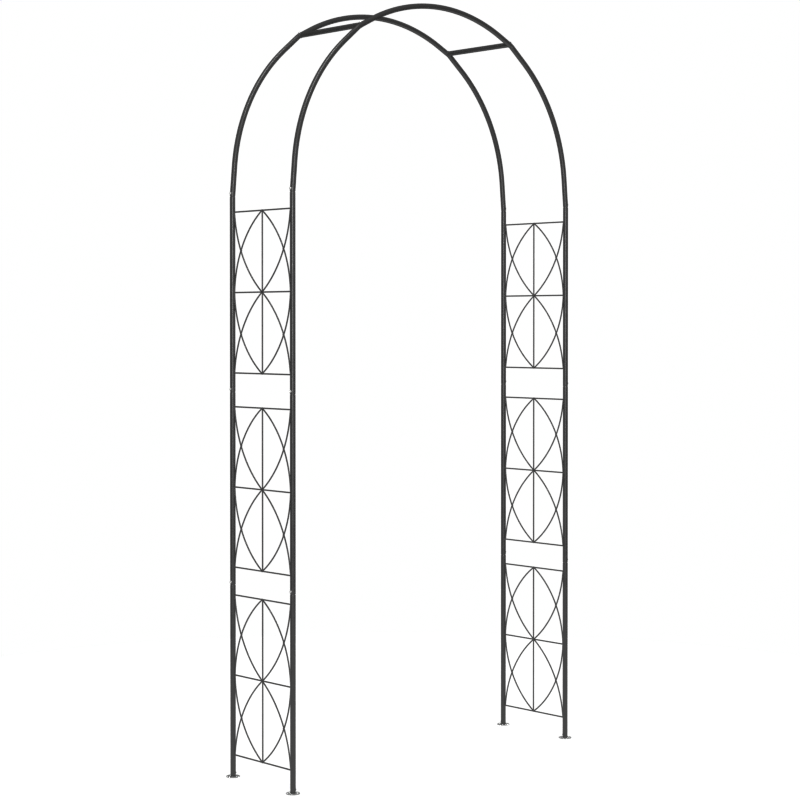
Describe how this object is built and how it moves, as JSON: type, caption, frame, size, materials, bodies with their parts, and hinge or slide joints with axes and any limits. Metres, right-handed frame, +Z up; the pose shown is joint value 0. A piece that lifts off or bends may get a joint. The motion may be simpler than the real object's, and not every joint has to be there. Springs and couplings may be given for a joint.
{
  "type": "garden trellis arch",
  "caption": "Free-standing round-topped garden arch of bolted steel tube, with rod trellis panels in both sides for climbing plants.",
  "frame": {"origin": "on the ground, midway between the four legs", "axes": "+X across the passage (left is -X), +Y through the passage (front is -Y), +Z up"},
  "size_m": [1.214, 0.336, 2.3986],
  "materials": {
    "tube_coat": "charcoal black powder coat, satin with a fine orange peel",
    "rod_coat": "charcoal black powder coat on welded rod, satin",
    "foot_coat": "mid-grey paint on a stamped plate, satin",
    "zinc": "bright zinc plate",
    "black_screw": "black oxide"
  },
  "bodies": {
    "root": {"lower_leg_left_front": "tube_coat", "middle_leg_left_front": "tube_coat", "upper_leg_left_front": "tube_coat", "foot_left_front": "foot_coat", "haunch_left_front": "tube_coat", "lower_joint_screw_left_front": "zinc", "middle_joint_screw_left_front": "zinc", "upper_joint_screw_left_front": "zinc", "crown_joint_screw_left_front": "zinc", "foot_screw_left_front": "black_screw", "lower_leg_left_back": "tube_coat", "middle_leg_left_back": "tube_coat", "upper_leg_left_back": "tube_coat", "foot_left_back": "foot_coat", "haunch_left_back": "tube_coat", "lower_joint_screw_left_back": "zinc", "middle_joint_screw_left_back": "zinc", "upper_joint_screw_left_back": "zinc", "crown_joint_screw_left_back": "zinc", "foot_screw_left_back": "black_screw", "crossbar_left": "tube_coat", "rail_ladder_lower_left": "rod_coat", "scrollwork_lower_left": "rod_coat", "rail_ladder_middle_left": "rod_coat", "scrollwork_middle_left": "rod_coat", "rail_ladder_upper_left": "rod_coat", "scrollwork_upper_left": "rod_coat", "lower_leg_right_front": "tube_coat", "middle_leg_right_front": "tube_coat", "upper_leg_right_front": "tube_coat", "foot_right_front": "foot_coat", "haunch_right_front": "tube_coat", "lower_joint_screw_right_front": "zinc", "middle_joint_screw_right_front": "zinc", "upper_joint_screw_right_front": "zinc", "crown_joint_screw_right_front": "zinc", "foot_screw_right_front": "black_screw", "lower_leg_right_back": "tube_coat", "middle_leg_right_back": "tube_coat", "upper_leg_right_back": "tube_coat", "foot_right_back": "foot_coat", "haunch_right_back": "tube_coat", "lower_joint_screw_right_back": "zinc", "middle_joint_screw_right_back": "zinc", "upper_joint_screw_right_back": "zinc", "crown_joint_screw_right_back": "zinc", "foot_screw_right_back": "black_screw", "crossbar_right": "tube_coat", "rail_ladder_lower_right": "rod_coat", "scrollwork_lower_right": "rod_coat", "rail_ladder_middle_right": "rod_coat", "scrollwork_middle_right": "rod_coat", "rail_ladder_upper_right": "rod_coat", "scrollwork_upper_right": "rod_coat", "crown_front": "tube_coat", "crown_back": "tube_coat"}
  },
  "joints": []
}
